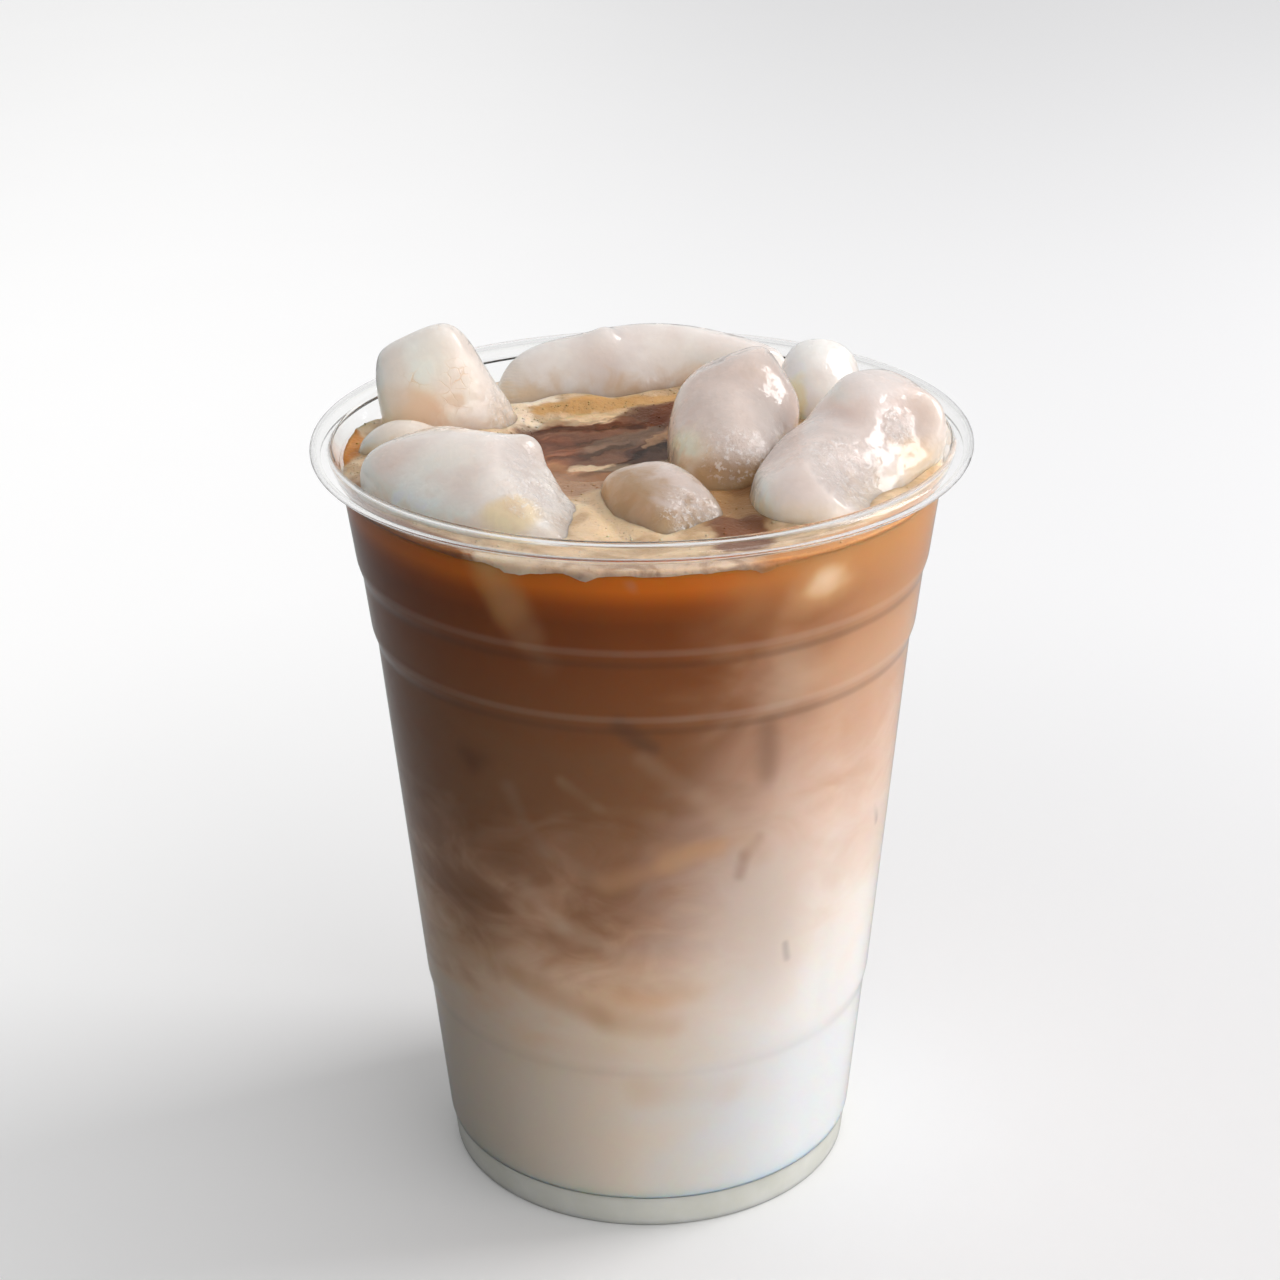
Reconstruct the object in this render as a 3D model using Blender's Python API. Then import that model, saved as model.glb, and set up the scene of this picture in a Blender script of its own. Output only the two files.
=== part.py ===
"""Iced white coffee in a clear plastic cup.

A thin thermoformed cup with a rolled rim, three stepped rings and a raised floor holds
a layered drink: milk at the bottom, a swirled blend, and coffee on top. Lumps of
half-melted ice stand out of the coffee, with pale foam round them and an open pool of
dark coffee in the middle.

The origin is the centre of the cup's foot, on the surface that it stands on, and +Z is
up. Every size below is in millimetres, and MM turns it into metres.
"""

import math

import bmesh
import bpy
import numpy as np
from mathutils import Euler

MM = 0.001
GAP = 0.3  # between solids that touch in the real drink
SEGMENTS = 48  # round the cup and the drink

# Cup
CUP_HEIGHT = 120.0
RIM_RADIUS = 49.0
WALL = 0.6
FLOOR_TOP = 5.5
FOOT_RADIUS = 31.7
FOOT_ROUND = 0.5
FOOT_WIDTH = 1.3
FLOOR_CORNER = 1.2
BEAD_HALF_WIDTH = 1.65
BEAD_HALF_HEIGHT = 1.55
BEAD_END_DEG = -90.0
BEAD_STEPS = 6

# Outer radius of the wall at each height, from the foot up. Each ring is a short step.
RING_HEIGHTS = (30.2, 89.9, 100.7)
RING_HALF = 1.2
WALL_STATIONS = (
    (FOOT_ROUND, FOOT_RADIUS),
    (FLOOR_TOP - 0.4, 32.2),
    (FLOOR_TOP + 0.3, 32.55),
    (RING_HEIGHTS[0] - RING_HALF, 34.8),
    (RING_HEIGHTS[0] + RING_HALF, 35.35),
    (RING_HEIGHTS[1] - RING_HALF, 40.57),
    (RING_HEIGHTS[1] + RING_HALF, 41.34),
    (RING_HEIGHTS[2] - RING_HALF, 42.29),
    (RING_HEIGHTS[2] + RING_HALF, 43.05),
    (113.7, 44.6),
    (116.5, 45.3),
    (CUP_HEIGHT - BEAD_HALF_HEIGHT, RIM_RADIUS - 2 * BEAD_HALF_WIDTH + WALL),
)

# Drink
DRINK_LEVEL = 114.2
MILK_LEVEL = 37.0
BLEND_LEVEL = 68.0
CAP_RINGS = (0.7, 0.4)  # shares of the radius that have a ring of points on a layer's faces

# Foam
FOAM_THICKNESS = 1.1
FOAM_RELIEF = 0.25
POOL_CENTRE = (-6.0, 7.0)
POOL_HALF = (10.5, 13.5)

# Ice
MELT = 3.5  # how softly the masses of one lump run together
WEAR = 0.15  # depth of the unevenness on the lumps
SOCKET_GROWTH = 0.36
FINE_LUMP = 6  # cells along each side of the cube that a large lump's points come from
COARSE_LUMP = 5

# Each lump is one or more rounded masses: (centre, half sizes, turns about X, Y and Z in
# degrees, squareness), where squareness 2 is an ellipsoid and more is boxier.
ICE = {
    "ice_back_left": (
        FINE_LUMP,
        ((-31.7, 15.0, 121.0), (10.3, 5.8, 12.2), (2, -20, 15), 3.6),
        ((-27.8, 15.8, 109.3), (8.4, 7.0, 7.2), (-4, 1, -5), 2.4),
    ),
    "ice_left_small": (
        COARSE_LUMP,
        ((-35.3, 3.5, 113.7), (7.5, 3.1, 6.5), (0, 4, 6), 2.6),
    ),
    "ice_front_left": (
        FINE_LUMP,
        ((-27.3, -15.4, 115.7), (16.2, 11.6, 9.8), (12, -2, -40), 2.6),
        ((-15.3, -27.9, 111.2), (12.4, 8.3, 8.6), (0, -2, -31), 2.3),
    ),
    "ice_back": (
        FINE_LUMP,
        ((-8.9, 31.8, 113.4), (19.2, 7.6, 11.2), (-6, 6, 19), 2.2),
        ((13.6, 35.4, 114.8), (15.0, 3.9, 9.2), (-8, -6, -12), 3.0),
    ),
    "ice_centre_right": (
        FINE_LUMP,
        ((11.5, -4.6, 113.0), (6.0, 12.8, 7.8), (-12, 3, 5), 2.4),
        ((15.2, 10.4, 122.4), (8.6, 6.0, 5.8), (-4, -25, 0), 3.6),
        ((16.6, 9.6, 113.6), (7.2, 6.6, 6.8), (0, 0, 0), 2.6),
    ),
    "ice_back_right": (
        COARSE_LUMP,
        ((27.9, 20.8, 115.2), (7.0, 6.5, 11.4), (0, 1, -2), 2.5),
    ),
    "ice_right": (
        FINE_LUMP,
        ((25.8, -15.2, 113.8), (11.0, 18.1, 9.9), (-6, 9, -19), 2.8),
        ((37.0, -0.3, 121.2), (10.1, 7.2, 5.8), (-9, 16, -47), 3.2),
    ),
    "ice_front": (
        COARSE_LUMP,
        ((2.6, -23.3, 114.2), (7.8, 11.9, 5.9), (8, -3, 24), 2.5),
    ),
}


def clear_scene():
    for obj in list(bpy.data.objects):
        bpy.data.objects.remove(obj)


def material(name, colour, roughness, alpha=1.0, metallic=0.0):
    made = bpy.data.materials.new(name)
    made.use_nodes = True
    shader = made.node_tree.nodes["Principled BSDF"]
    shader.inputs["Base Color"].default_value = (*colour, 1.0)
    shader.inputs["Roughness"].default_value = roughness
    shader.inputs["Metallic"].default_value = metallic
    shader.inputs["Alpha"].default_value = alpha
    return made


def add_object(name, points, faces, finish, smooth_angle=35.0):
    """An object from points in millimetres, with every face split into triangles, so that what
    is cut with a copy of it fits it exactly."""
    mesh = bpy.data.meshes.new(name)
    mesh.from_pydata([tuple(c * MM for c in p) for p in points], [], faces)
    work = bmesh.new()
    work.from_mesh(mesh)
    bmesh.ops.triangulate(work, faces=work.faces[:])
    work.to_mesh(mesh)
    work.free()
    mesh.shade_smooth()
    mesh.set_sharp_from_angle(angle=math.radians(smooth_angle))
    mesh.materials.append(finish)
    obj = bpy.data.objects.new(name, mesh)
    bpy.context.scene.collection.objects.link(obj)
    return obj


def wall_radius(z):
    """Outer radius of the cup's wall at a height."""
    heights, radii = zip(*WALL_STATIONS)
    return float(np.interp(z, heights, radii))


def inner_radius(z):
    return wall_radius(z) - WALL


def turn_profile(profile):
    """Points and faces of a solid turned about Z. The profile of (radius, height) starts and
    ends on the axis and runs anticlockwise as seen with the radius to the right."""
    points, rings, faces = [], [], []
    for radius, height in profile:
        if radius == 0.0:
            rings.append([len(points)])
            points.append((0.0, 0.0, height))
            continue
        ring = []
        for i in range(SEGMENTS):
            angle = 2 * math.pi * i / SEGMENTS
            ring.append(len(points))
            points.append((radius * math.cos(angle), radius * math.sin(angle), height))
        rings.append(ring)
    for low, high in zip(rings, rings[1:]):
        for i in range(SEGMENTS):
            j = (i + 1) % SEGMENTS
            if len(low) == 1:
                faces.append((low[0], high[j], high[i]))
            elif len(high) == 1:
                faces.append((low[i], low[j], high[0]))
            else:
                faces.append((low[i], low[j], high[j], high[i]))
    return points, faces


def bead_arc(half_width, half_height, start_deg, end_deg):
    """Points along the rolled rim's section, from one angle to the other."""
    centre_r = RIM_RADIUS - BEAD_HALF_WIDTH
    centre_z = CUP_HEIGHT - BEAD_HALF_HEIGHT
    arc = []
    for i in range(BEAD_STEPS + 1):
        angle = math.radians(start_deg + (end_deg - start_deg) * i / BEAD_STEPS)
        arc.append((centre_r + half_width * math.cos(angle), centre_z + half_height * math.sin(angle)))
    return arc


def cup_profile():
    """Floor's underside, foot, outer wall, rolled rim, inner wall and floor."""
    foot_inner = FOOT_RADIUS - FOOT_WIDTH
    under = FLOOR_TOP - WALL
    foot = [
        (0.0, under),
        (foot_inner - 0.4, under),
        (foot_inner, 0.0),
        (FOOT_RADIUS - FOOT_ROUND, 0.0),
    ]
    outer = [(r, z) for z, r in WALL_STATIONS]
    inside_bead = bead_arc(BEAD_HALF_WIDTH - WALL, BEAD_HALF_HEIGHT - WALL, 180.0, BEAD_END_DEG)
    outside_bead = bead_arc(BEAD_HALF_WIDTH, BEAD_HALF_HEIGHT, BEAD_END_DEG, 180.0)
    low = FLOOR_TOP + FLOOR_CORNER
    inner = [(inner_radius(z), z) for z, _ in reversed(WALL_STATIONS[:-1]) if z > low]
    floor = [
        (inner_radius(low), low),
        (inner_radius(low) - 0.3 * FLOOR_CORNER, FLOOR_TOP + 0.3 * FLOOR_CORNER),
        (inner_radius(low) - FLOOR_CORNER, FLOOR_TOP),
        (0.0, FLOOR_TOP),
    ]
    # The wall's last station is where the inside of the rolled rim begins.
    return foot + outer[:-1] + inside_bead + outside_bead + inner + floor


def make_cup(finish):
    return add_object("cup", *turn_profile(cup_profile()), finish)


def milk_level(x, y):
    """Height of the milk's upper face, which leans and swirls."""
    angle = math.atan2(y, x)
    reach = math.hypot(x, y) / RIM_RADIUS
    return MILK_LEVEL + reach * (2.6 * math.cos(angle - 0.4) + 1.8 * math.sin(2 * angle + 0.9))


def blend_level(x, y):
    """Height of the blend's upper face, higher on the right, where more milk has risen."""
    angle = math.atan2(y, x)
    reach = math.hypot(x, y) / RIM_RADIUS
    return BLEND_LEVEL + reach * (7.0 * math.cos(angle + 0.2) + 3.5 * math.sin(3 * angle - 0.5))


def drink_radius(z):
    return inner_radius(z) - GAP


def layer_mesh(bottom, top, stations):
    """Points and faces of one layer of the drink. bottom and top give a height for x and y, and
    stations are the heights between them where the wall bends."""
    points, faces = [], []

    def rim_point(angle, level):
        height = level(0.0, 0.0)
        for _ in range(4):
            radius = drink_radius(height)
            height = level(radius * math.cos(angle), radius * math.sin(angle))
        return (radius * math.cos(angle), radius * math.sin(angle), height)

    def side_ring(place):
        ring = []
        for i in range(SEGMENTS):
            ring.append(len(points))
            points.append(place(2 * math.pi * i / SEGMENTS))
        return ring

    def fixed(z):
        return lambda a: (drink_radius(z) * math.cos(a), drink_radius(z) * math.sin(a), z)

    def join(low, high):
        for i in range(SEGMENTS):
            j = (i + 1) % SEGMENTS
            faces.append((low[i], low[j], high[j], high[i]))

    def cap(edge, level, up):
        rings = [edge]
        for share in CAP_RINGS:
            ring = []
            for index in edge:
                x, y = points[index][0] * share, points[index][1] * share
                ring.append(len(points))
                points.append((x, y, level(x, y)))
            rings.append(ring)
        for wide, narrow in zip(rings, rings[1:]):
            join(*((wide, narrow) if up else (narrow, wide)))
        middle = len(points)
        points.append((0.0, 0.0, level(0.0, 0.0)))
        last = rings[-1]
        for i in range(SEGMENTS):
            pair = (last[i], last[(i + 1) % SEGMENTS])
            faces.append((*(pair if up else pair[::-1]), middle))

    lowest = side_ring(lambda a: rim_point(a, bottom))
    cap(lowest, bottom, up=False)
    below = lowest
    for z in stations:
        ring = side_ring(fixed(z))
        join(below, ring)
        below = ring
    highest = side_ring(lambda a: rim_point(a, top))
    join(below, highest)
    cap(highest, top, up=True)
    return points, faces


def wall_bends(low, high):
    return [z for z, _ in WALL_STATIONS if low < z < high]


def make_drink(finishes):
    """The milk, the blend and the coffee, each a solid that fills the cup from side to side."""
    half = GAP / 2
    floor = FLOOR_TOP + GAP
    foot = floor + FLOOR_CORNER

    def floor_level(x, y):
        """The floor, with its rounded corner."""
        corner = max(0.0, math.hypot(x, y) - (drink_radius(foot) - FLOOR_CORNER))
        return floor + min(corner, FLOOR_CORNER)

    milk = layer_mesh(
        floor_level,
        lambda x, y: milk_level(x, y) - half,
        wall_bends(foot, MILK_LEVEL - 4),
    )
    blend = layer_mesh(
        lambda x, y: milk_level(x, y) + half,
        lambda x, y: blend_level(x, y) - half,
        [],
    )
    coffee = layer_mesh(
        lambda x, y: blend_level(x, y) + half,
        lambda x, y: DRINK_LEVEL,
        wall_bends(BLEND_LEVEL + 12, DRINK_LEVEL - 0.1),
    )
    add_object("milk_layer", *milk, finishes["milk"])
    add_object("blend_layer", *blend, finishes["blend"])
    return add_object("coffee_layer", *coffee, finishes["coffee"])


def cube_directions(cells):
    """Unit vectors through an even grid on a cube's faces, and the faces between them."""
    points, index, faces = [], {}, []

    def corner(key):
        if key not in index:
            index[key] = len(points)
            # The tangent spreads the points evenly over the sphere.
            v = [math.tan(math.pi / 4 * (2 * k / cells - 1)) for k in key]
            length = math.sqrt(sum(c * c for c in v))
            points.append([c / length for c in v])
        return index[key]

    for axis in range(3):
        one, two = (axis + 1) % 3, (axis + 2) % 3
        for side in (0, cells):
            for i in range(cells):
                for j in range(cells):
                    quad = []
                    for di, dj in ((0, 0), (1, 0), (1, 1), (0, 1)):
                        key = [0, 0, 0]
                        key[axis], key[one], key[two] = side, i + di, j + dj
                        quad.append(corner(tuple(key)))
                    faces.append(quad if side else quad[::-1])
    return np.array(points), faces


def mass_depth(points, centre, half, turns, squareness):
    """About how far points are outside one rounded mass, and negative inside it."""
    axes = np.array(Euler([math.radians(a) for a in turns]).to_matrix())
    scaled = np.abs((points - np.array(centre)) @ axes) / np.array(half)
    size = (scaled**squareness).sum(axis=1) ** (1 / squareness)
    return (size - 1) * min(half)


def lump_depth(points, masses):
    """The masses of a lump as one smooth shape."""
    depths = np.stack([mass_depth(points, *mass) for mass in masses])
    return -MELT * np.log(np.exp(-depths / MELT).sum(axis=0)) + MELT * math.log(len(masses)) * 0.5


def worn(directions, middle):
    """A small uneven wear for each direction, different from lump to lump."""
    phase = np.array(middle)
    wave = np.sin(directions @ np.array([3.1, 4.3, 2.7]) + phase[0])
    wave = wave + np.sin(directions @ np.array([-4.9, 2.2, 5.3]) + phase[1])
    wave = wave + np.sin(directions @ np.array([2.6, -5.8, 3.9]) + phase[2])
    return WEAR * wave


def lump_mesh(cells, masses):
    """Points found along rays from the lump's middle, where they leave the lump."""
    directions, faces = cube_directions(cells)
    middle = np.mean([mass[0] for mass in masses], axis=0)
    near = np.zeros(len(directions))
    far = np.full(len(directions), 40.0)
    for _ in range(40):
        half = (near + far) / 2
        inside = lump_depth(middle + directions * half[:, None], masses) < 0
        near = np.where(inside, half, near)
        far = np.where(inside, far, half)
    reach = near + worn(directions, middle)
    return middle + directions * reach[:, None], faces


def make_ice(finish):
    return [
        add_object(name, *lump_mesh(cells, masses), finish, smooth_angle=80.0)
        for name, (cells, *masses) in ICE.items()
    ]


def make_sockets(lumps):
    """Cutters, a little larger than the lumps, for the hollows that the ice stands in."""
    cutters = bpy.data.collections.new("sockets")
    bpy.context.scene.collection.children.link(cutters)
    for lump in lumps:
        mesh = lump.data.copy()
        normals = [v.normal.copy() for v in mesh.vertices]
        for vertex, normal in zip(mesh.vertices, normals):
            vertex.co += normal * SOCKET_GROWTH * MM
        cutter = bpy.data.objects.new(lump.name + "_socket", mesh)
        cutter.hide_render = True
        cutter.display_type = "WIRE"
        cutters.objects.link(cutter)
    return cutters


def cut(obj, cutters):
    bite = obj.modifiers.new("sockets", "BOOLEAN")
    bite.operation = "DIFFERENCE"
    bite.operand_type = "COLLECTION"
    bite.collection = cutters
    bite.solver = "EXACT"


def pool_reach(angle):
    """How far the open pool reaches from its middle, at an angle."""
    plain = 1 / math.hypot(math.cos(angle) / POOL_HALF[0], math.sin(angle) / POOL_HALF[1])
    return plain * (1 + 0.08 * math.sin(3 * angle + 0.6) + 0.05 * math.sin(5 * angle))


def foam_mesh():
    """A thin sheet with a wavy top, from the edge of the pool out to the cup's wall."""
    base = DRINK_LEVEL + GAP
    shares = (0.0, 0.5, 1.0)
    points, sheets = [], []
    for top in (False, True):
        rings = []
        for share in shares:
            ring = []
            for i in range(SEGMENTS):
                angle = 2 * math.pi * i / SEGMENTS
                inner = (
                    POOL_CENTRE[0] + pool_reach(angle) * math.cos(angle),
                    POOL_CENTRE[1] + pool_reach(angle) * math.sin(angle),
                )
                edge = drink_radius(base)
                outer = (edge * math.cos(angle), edge * math.sin(angle))
                x = inner[0] + (outer[0] - inner[0]) * share
                y = inner[1] + (outer[1] - inner[1]) * share
                wave = math.sin(0.42 * x + 1.0) * math.cos(0.37 * y)
                height = base + (FOAM_THICKNESS + FOAM_RELIEF * wave if top else 0.0)
                ring.append(len(points))
                points.append((x, y, height))
            rings.append(ring)
        sheets.append(rings)
    faces = []
    for i in range(SEGMENTS):
        j = (i + 1) % SEGMENTS
        for low, high in zip(sheets[0], sheets[0][1:]):
            faces.append((low[i], low[j], high[j], high[i]))
        for low, high in zip(sheets[1], sheets[1][1:]):
            faces.append((low[j], low[i], high[i], high[j]))
        inner_low, inner_high = sheets[0][0], sheets[1][0]
        outer_low, outer_high = sheets[0][-1], sheets[1][-1]
        faces.append((inner_low[j], inner_low[i], inner_high[i], inner_high[j]))
        faces.append((outer_low[i], outer_low[j], outer_high[j], outer_high[i]))
    return points, faces


def main():
    clear_scene()
    clear_plastic = material("clear_plastic", (0.93, 0.95, 0.95), 0.06, alpha=0.3)
    ice = material("ice", (0.80, 0.75, 0.71), 0.2)
    foam = material("foam", (0.80, 0.63, 0.44), 0.6)
    drinks = {
        "milk": material("milk", (0.78, 0.70, 0.62), 0.3),
        "blend": material("blend", (0.45, 0.29, 0.19), 0.3),
        "coffee": material("coffee", (0.24, 0.11, 0.05), 0.25),
    }
    make_cup(clear_plastic)
    coffee = make_drink(drinks)
    lumps = make_ice(ice)
    sockets = make_sockets(lumps)
    cut(coffee, sockets)
    foam_sheet = add_object("foam", *foam_mesh(), foam)
    cut(foam_sheet, sockets)


main()
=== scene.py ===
"""Iced white coffee in a clear plastic cup: the looks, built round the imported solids."""

import math

import bpy
import numpy as np
from mathutils import Euler, Matrix, Vector


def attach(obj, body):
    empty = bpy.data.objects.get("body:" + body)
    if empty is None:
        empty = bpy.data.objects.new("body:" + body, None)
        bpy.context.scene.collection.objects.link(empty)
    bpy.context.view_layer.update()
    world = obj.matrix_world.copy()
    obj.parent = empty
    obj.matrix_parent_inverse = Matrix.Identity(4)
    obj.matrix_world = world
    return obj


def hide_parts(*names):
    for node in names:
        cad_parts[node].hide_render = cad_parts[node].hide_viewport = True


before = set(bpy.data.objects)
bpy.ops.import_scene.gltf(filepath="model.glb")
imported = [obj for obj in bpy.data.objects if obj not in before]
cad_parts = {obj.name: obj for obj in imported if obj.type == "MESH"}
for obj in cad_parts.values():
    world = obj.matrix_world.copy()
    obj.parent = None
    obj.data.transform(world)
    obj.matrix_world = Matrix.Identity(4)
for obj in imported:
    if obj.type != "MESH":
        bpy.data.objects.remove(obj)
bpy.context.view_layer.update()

MM = 0.001
SEGMENTS = 240

# Cup, in millimetres, as in the solids
CUP_HEIGHT = 120.0
NECK_TOP = 116.6  # where the wall ends and the rim begins
RIM_RADIUS = 49.0
WALL = 0.6
FLOOR_TOP = 5.5
FLOOR_CORNER = 1.2  # radius between the floor and the wall, inside
FOOT_RADIUS = 31.7
FOOT_WIDTH = 1.3
BEAD_HALF_WIDTH = 1.65
BEAD_HALF_HEIGHT = 1.55
RING_HEIGHTS = (30.2, 89.9, 100.7)
RING_HALF = 1.2
WALL_STATIONS = (
    (0.5, FOOT_RADIUS),
    (FLOOR_TOP - 0.4, 32.2),
    (FLOOR_TOP + 0.3, 32.55),
    (RING_HEIGHTS[0] - RING_HALF, 34.8),
    (RING_HEIGHTS[0] + RING_HALF, 35.35),
    (RING_HEIGHTS[1] - RING_HALF, 40.57),
    (RING_HEIGHTS[1] + RING_HALF, 41.34),
    (RING_HEIGHTS[2] - RING_HALF, 42.29),
    (RING_HEIGHTS[2] + RING_HALF, 43.05),
    (113.7, 44.6),
    (116.5, 45.3),
    (CUP_HEIGHT - BEAD_HALF_HEIGHT, RIM_RADIUS - 2 * BEAD_HALF_WIDTH + WALL),
)
DRINK_LEVEL = 114.2
POOL_CENTRE = (-6.0, 7.0)
POOL_HALF = (10.5, 13.5)
FRONT_STRIP = math.radians(264)  # the middle of the froth strip at the front
LEFT_CLIMB = math.radians(165)  # where the froth has climbed the wall
FAN = (9.5, 28.0)  # where the streaks of the pool come together

# Ice, as in the solids: masses of (centre, half sizes, turns about X, Y and Z, squareness)
MELT = 3.5
ICE = {
    "ice_back_left": (
        ((-31.7, 15.0, 121.0), (10.3, 5.8, 12.2), (2, -20, 15), 3.6),
        ((-27.8, 15.8, 109.3), (8.4, 7.0, 7.2), (-4, 1, -5), 2.4),
    ),
    "ice_left_small": (((-35.3, 3.5, 113.7), (7.5, 3.1, 6.5), (0, 4, 6), 2.6),),
    "ice_front_left": (
        ((-27.3, -15.4, 115.7), (16.2, 11.6, 9.8), (12, -2, -40), 2.6),
        ((-15.3, -27.9, 111.2), (12.4, 8.3, 8.6), (0, -2, -31), 2.3),
    ),
    "ice_back": (
        ((-8.9, 31.8, 113.4), (19.2, 7.6, 11.2), (-6, 6, 19), 2.2),
        ((13.6, 35.4, 114.8), (15.0, 3.9, 9.2), (-8, -6, -12), 3.0),
    ),
    "ice_centre_right": (
        ((11.5, -4.6, 113.0), (6.0, 12.8, 7.8), (-12, 3, 5), 2.4),
        ((15.2, 10.4, 122.4), (8.6, 6.0, 5.8), (-4, -25, 0), 3.6),
        ((16.6, 9.6, 113.6), (7.2, 6.6, 6.8), (0, 0, 0), 2.6),
    ),
    "ice_back_right": (((27.9, 20.8, 115.2), (7.0, 6.5, 11.4), (0, 1, -2), 2.5),),
    "ice_right": (
        ((25.8, -15.2, 113.8), (11.0, 18.1, 9.9), (-6, 9, -19), 2.8),
        ((37.0, -0.3, 121.2), (10.1, 7.2, 5.8), (-9, 16, -47), 3.2),
    ),
    "ice_front": (((2.6, -23.3, 114.2), (7.8, 11.9, 5.9), (8, -3, 24), 2.5),),
}

# Melted flats: lump, a point near the flat, its outward direction, how deep it is cut
FLATS = (
    ("ice_back_left", (-32.6, 9.7, 123.5), (-0.10, -0.93, 0.36), 0.5),
    ("ice_back_left", (-22.5, 13.0, 121.0), (0.86, -0.42, 0.30), 0.2),
    ("ice_front_left", (-30.0, -19.0, 123.5), (-0.36, -0.45, 0.82), 0.5),
    ("ice_front_left", (-14.0, -26.0, 119.6), (0.62, -0.10, 0.78), 0.2),
    ("ice_back", (-6.0, 29.5, 121.0), (-0.05, -0.85, 0.53), 0.5),
    ("ice_centre_right", (17.2, -4.0, 122.4), (0.52, -0.53, 0.67), 1.9),
    ("ice_back_right", (24.4, 16.6, 123.7), (-0.75, -0.50, 0.43), 0.4),
    ("ice_back_right", (29.0, 17.0, 124.4), (0.51, -0.54, 0.66), 0.8),
    ("ice_back_right", (32.1, 16.9, 123.5), (0.88, -0.32, 0.35), 0.3),
    ("ice_right", (24.5, -17.0, 124.2), (-0.45, 0.04, 0.89), 0.6),
    ("ice_right", (33.0, -12.0, 122.5), (0.49, -0.47, 0.73), 1.1),
    ("ice_front", (-3.1, -24.4, 118.9), (-0.66, -0.50, 0.56), 0.3),
    ("ice_front", (6.0, -29.0, 118.5), (0.50, -0.52, 0.69), 0.4),
)
FLAT_REACH = 7.0  # a flat ends softly this far from its point
WORN_SHARE = 0.965  # where the smaller random flats lie, as a share of the reach
# Knobs and swellings: lump, centre, radius, softness
KNOBS = (
    ("ice_back", (-5.6, 33.6, 122.6), 1.9, 0.6),
    ("ice_front_left", (-16.9, -14.5, 121.0), 2.2, 0.8),
    ("ice_centre_right", (13.0, 1.0, 117.0), 5.0, 4.0),
    ("ice_centre_right", (13.5, -8.0, 114.0), 6.0, 3.0),
)
RAY_LENGTH = 40.0  # longer than any lump, from its middle
TOWARDS_WINDOW = (0.72, 0.0, 0.69)
# Frosted, pitted areas: lump, centre, reach, stretch
FROST = (
    ("ice_front_left", (-13.0, -25.5, 119.5), 12.0, (0.9, 1.2, 1.0)),
    ("ice_back_left", (-20.8, 14.0, 119.0), 7.0, (0.6, 1.0, 1.7)),
    ("ice_centre_right", (13.5, -10.5, 118.0), 8.5, (0.9, 1.0, 0.9)),
    ("ice_centre_right", (11.5, 2.0, 121.3), 5.5, (1.0, 1.0, 0.8)),
    ("ice_front", (7.5, -30.0, 118.0), 7.5, (1.1, 1.0, 1.0)),
    ("ice_right", (29.5, -20.5, 121.0), 9.0, (1.0, 1.3, 1.0)),
    ("ice_right", (38.0, -8.0, 122.5), 4.5, (1.0, 1.4, 1.0)),
)

scene = bpy.context.scene

# Colours of the drink by height, as shares of the cup's height: painted darker for the side away
# from the light, and painted lighter for the side towards it
SHADED_SIDE_COFFEE = (
    (0.06, (0.76, 0.68, 0.59)),
    (0.20, (0.76, 0.66, 0.56)),
    (0.27, (0.76, 0.63, 0.51)),
    (0.35, (0.76, 0.57, 0.42)),
    (0.43, (0.60, 0.38, 0.25)),
    (0.52, (0.38, 0.205, 0.12)),
    (0.60, (0.285, 0.138, 0.068)),
    (0.70, (0.268, 0.120, 0.054)),
    (0.79, (0.26, 0.092, 0.030)),
    (0.885, (0.23, 0.062, 0.012)),
    (0.908, (0.33, 0.082, 0.010)),
    (0.930, (0.60, 0.16, 0.012)),
)
LIT_SIDE_COFFEE = (
    (0.06, (0.71, 0.72, 0.74)),
    (0.20, (0.71, 0.71, 0.73)),
    (0.30, (0.74, 0.71, 0.70)),
    (0.40, (0.75, 0.68, 0.63)),
    (0.50, (0.70, 0.58, 0.51)),
    (0.60, (0.66, 0.50, 0.41)),
    (0.70, (0.58, 0.39, 0.29)),
    (0.80, (0.53, 0.31, 0.19)),
    (0.87, (0.47, 0.24, 0.12)),
    (0.93, (0.54, 0.26, 0.10)),
)
# Patches seen at the wall: centre, reach, stretch, colour, share
WALL_PATCHES = (
    ((25.0, -35.5, 109.3), 8.0, (1.0, 1.0, 0.85), (0.72, 0.46, 0.24), 0.7),
    ((25.2, -35.5, 109.8), 5.0, (1.0, 1.0, 0.8), (0.80, 0.62, 0.44), 0.8),
    ((-1.9, -43.6, 112.5), 2.3, (1.1, 1.0, 0.8), (0.50, 0.27, 0.17), 0.9),
    ((-1.9, -43.6, 112.7), 1.2, (1.2, 1.0, 0.8), (0.10, 0.04, 0.02), 0.9),
    ((20.3, -36.5, 94.6), 8.5, (1.1, 1.0, 0.9), (0.60, 0.45, 0.34), 0.5),
    ((18.0, -33.0, 54.0), 19.0, (0.9, 1.0, 1.1), (0.60, 0.49, 0.42), 0.6),
    ((16.5, -33.7, 59.0), 10.5, (1.0, 1.0, 1.2), (0.62, 0.53, 0.47), 0.5),
    ((-24.4, -31.0, 80.8), 5.0, (1.0, 1.0, 0.8), (0.15, 0.06, 0.03), 0.6),
    ((5.5, -38.4, 69.5), 7.0, (1.5, 1.0, 0.35), (0.52, 0.30, 0.17), 0.6),
    ((-1.2, -36.0, 43.0), 8.0, (1.5, 1.0, 0.5), (0.66, 0.40, 0.22), 0.5),
)

# Painted shade: the darkness of the band below each ring in the drink's colour
RING_SHADES = (0.03, 0.2, 0.22)  # how much each ring darkens the drink below it

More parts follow.
